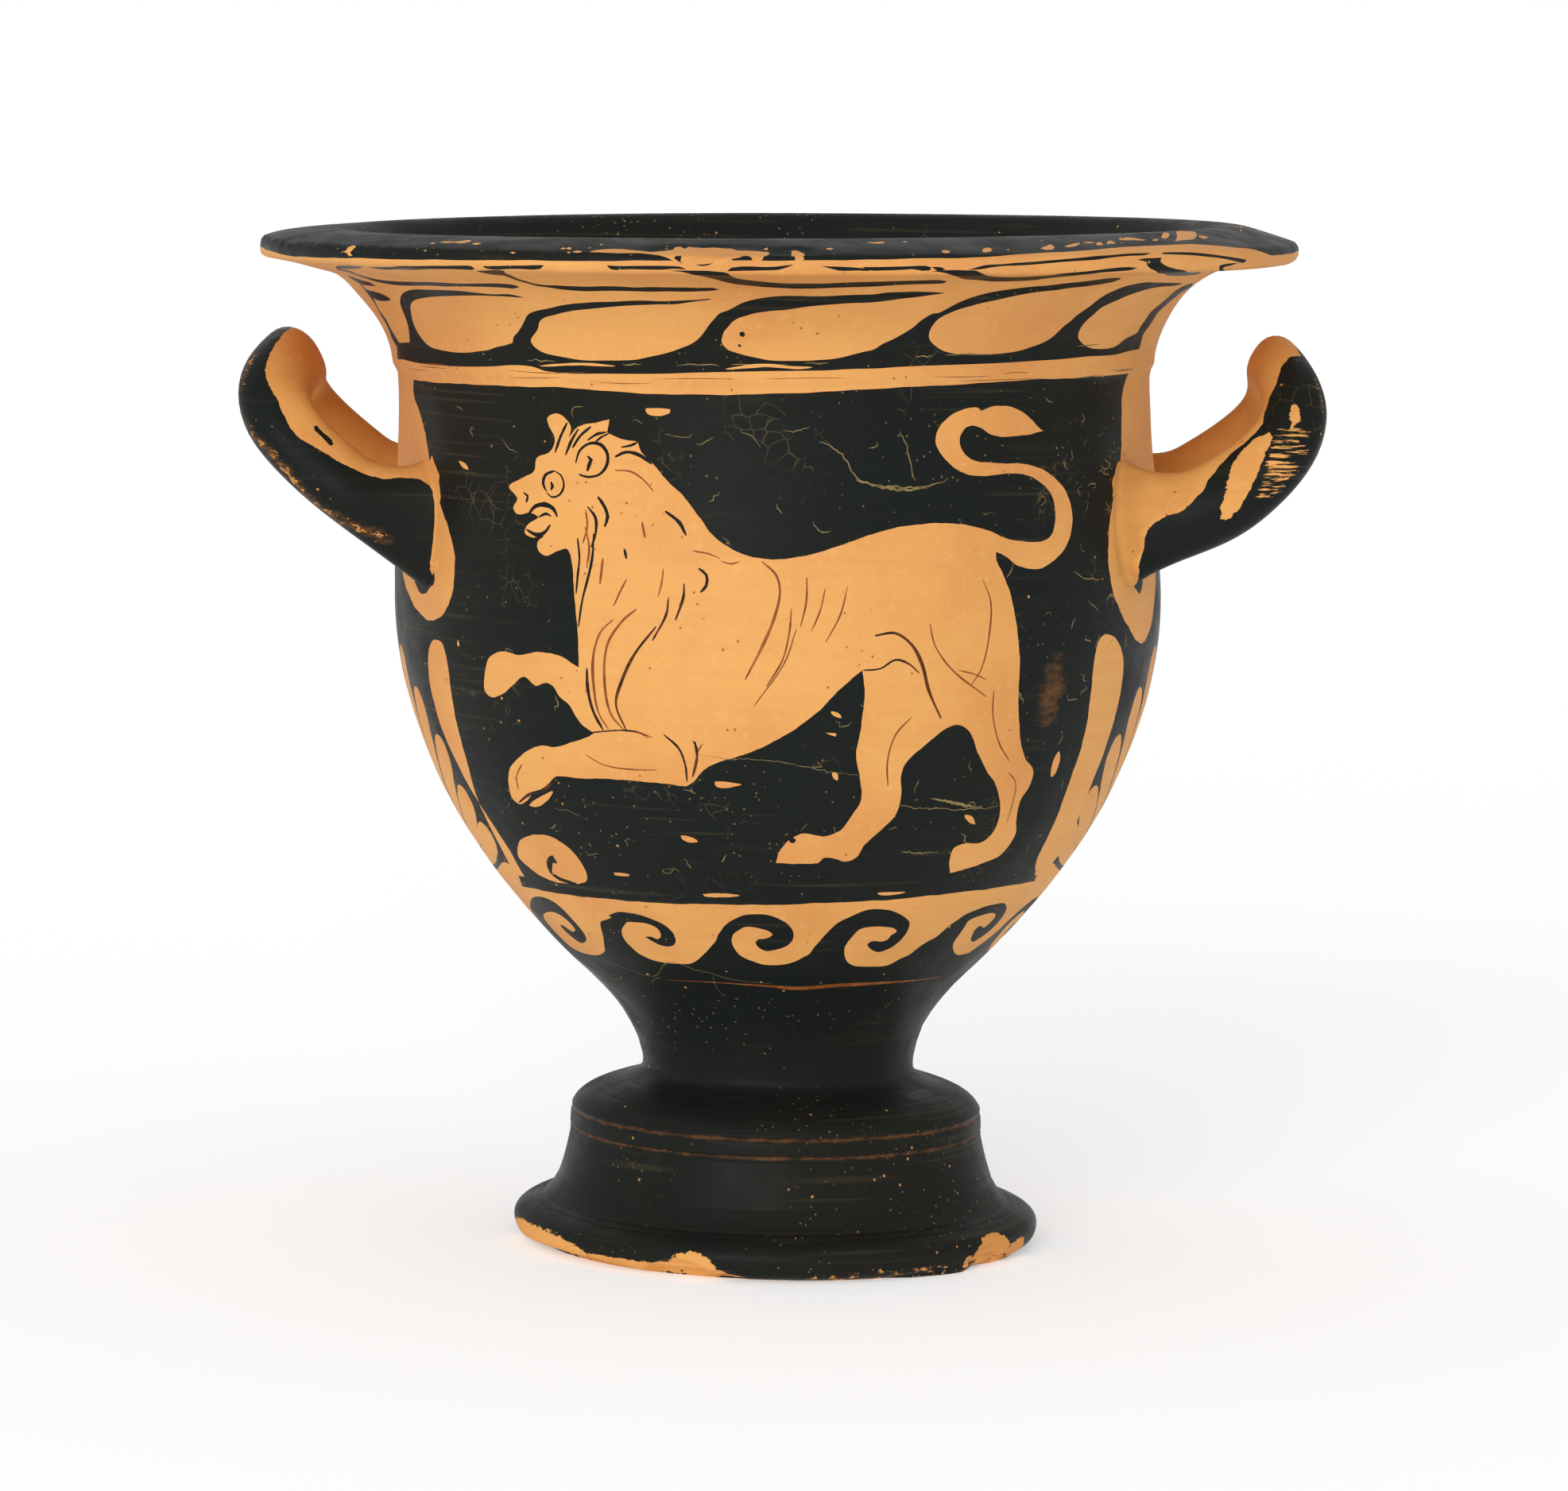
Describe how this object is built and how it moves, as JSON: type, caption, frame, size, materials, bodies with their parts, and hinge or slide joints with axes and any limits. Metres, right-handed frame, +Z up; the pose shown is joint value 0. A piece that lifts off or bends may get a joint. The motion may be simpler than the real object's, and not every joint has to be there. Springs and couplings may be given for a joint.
{
  "type": "bell krater",
  "caption": "Bell-shaped mixing bowl of painted fired clay on a turned foot, wide flaring mouth and two upturned loop handles, for mixing wine and water at table.",
  "frame": {"origin": "on the standing plane, below the middle of the vessel", "axes": "+Z up along the axis of the bowl, +X through one handle, the painted lion faces -Y"},
  "size_m": [0.2853, 0.276, 0.2753],
  "materials": {
    "gloss": "black slip fired to a soft sheen over orange clay, worn through in places",
    "clay": "bare orange fired clay, matt and smooth"
  },
  "bodies": {
    "root": {"krater": "gloss"}
  },
  "joints": []
}
